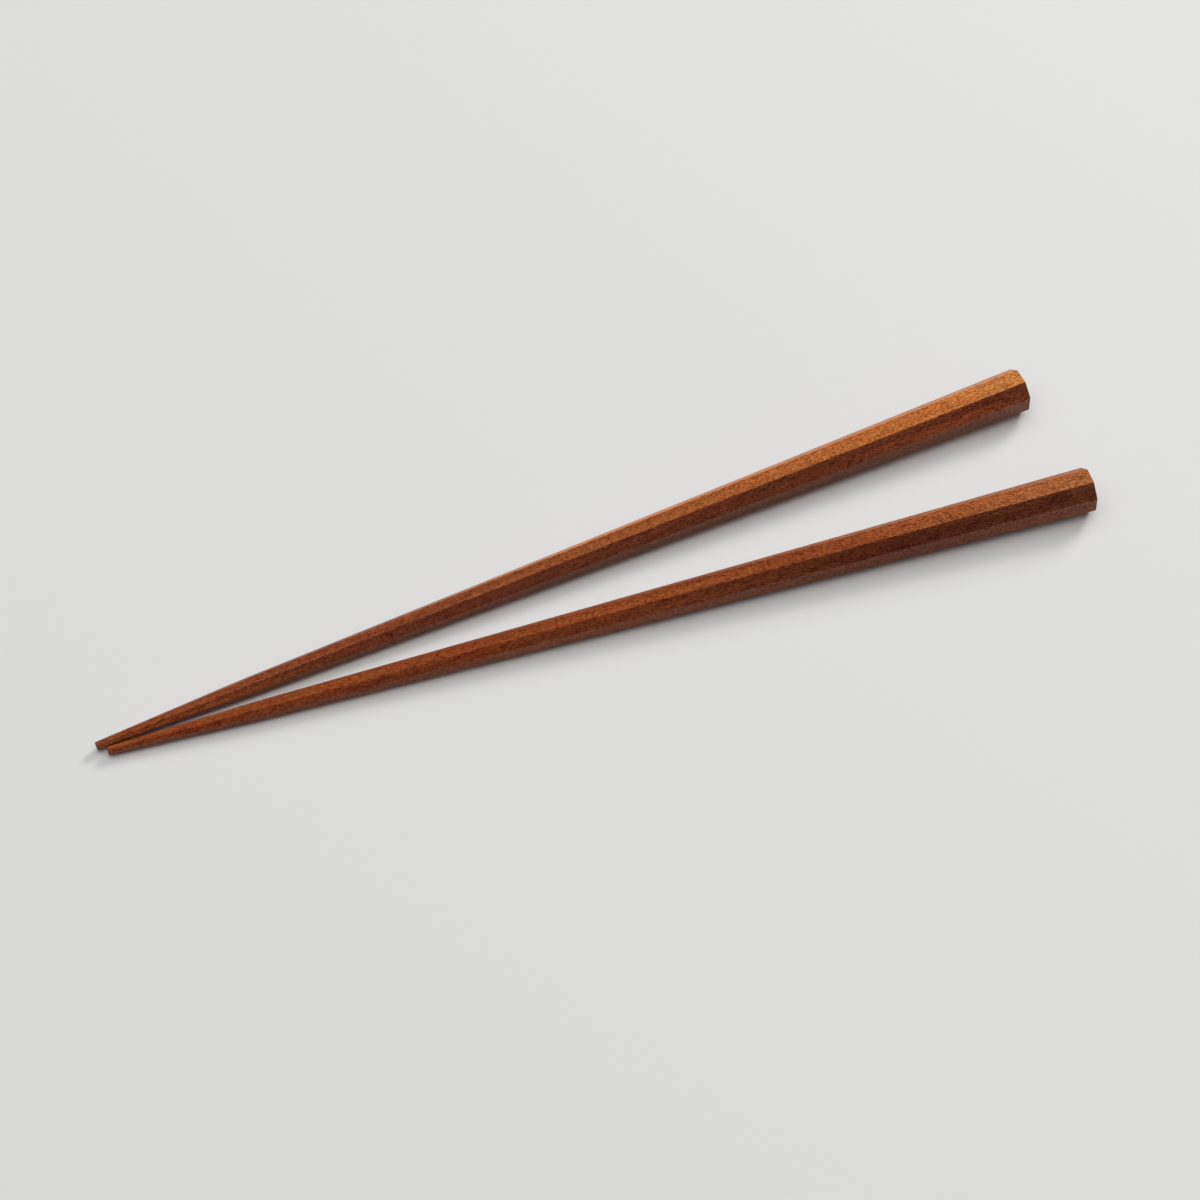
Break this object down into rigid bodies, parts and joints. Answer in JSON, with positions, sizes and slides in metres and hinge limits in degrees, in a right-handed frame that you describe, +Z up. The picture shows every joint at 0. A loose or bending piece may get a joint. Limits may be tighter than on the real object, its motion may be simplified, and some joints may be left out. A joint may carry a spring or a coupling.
{
  "type": "pair of wooden chopsticks",
  "caption": "Tapered wooden eating sticks with planed flats, a quicker taper towards the tips and square-cut butts, lying side by side with tips together.",
  "frame": {"origin": "on the table, under the middle of the pair's bounding box", "axes": "+X runs between the two sticks from the tips to the butts, +Y towards the rear stick, +Z up from the table"},
  "size_m": [0.2318, 0.0424, 0.0098],
  "materials": {
    "rear_stick_wood": "satin, planed, orange-brown",
    "front_stick_wood": "satin, planed, red-brown"
  },
  "bodies": {
    "root": {"rear_chopstick": "rear_stick_wood", "front_chopstick": "front_stick_wood"}
  },
  "joints": []
}
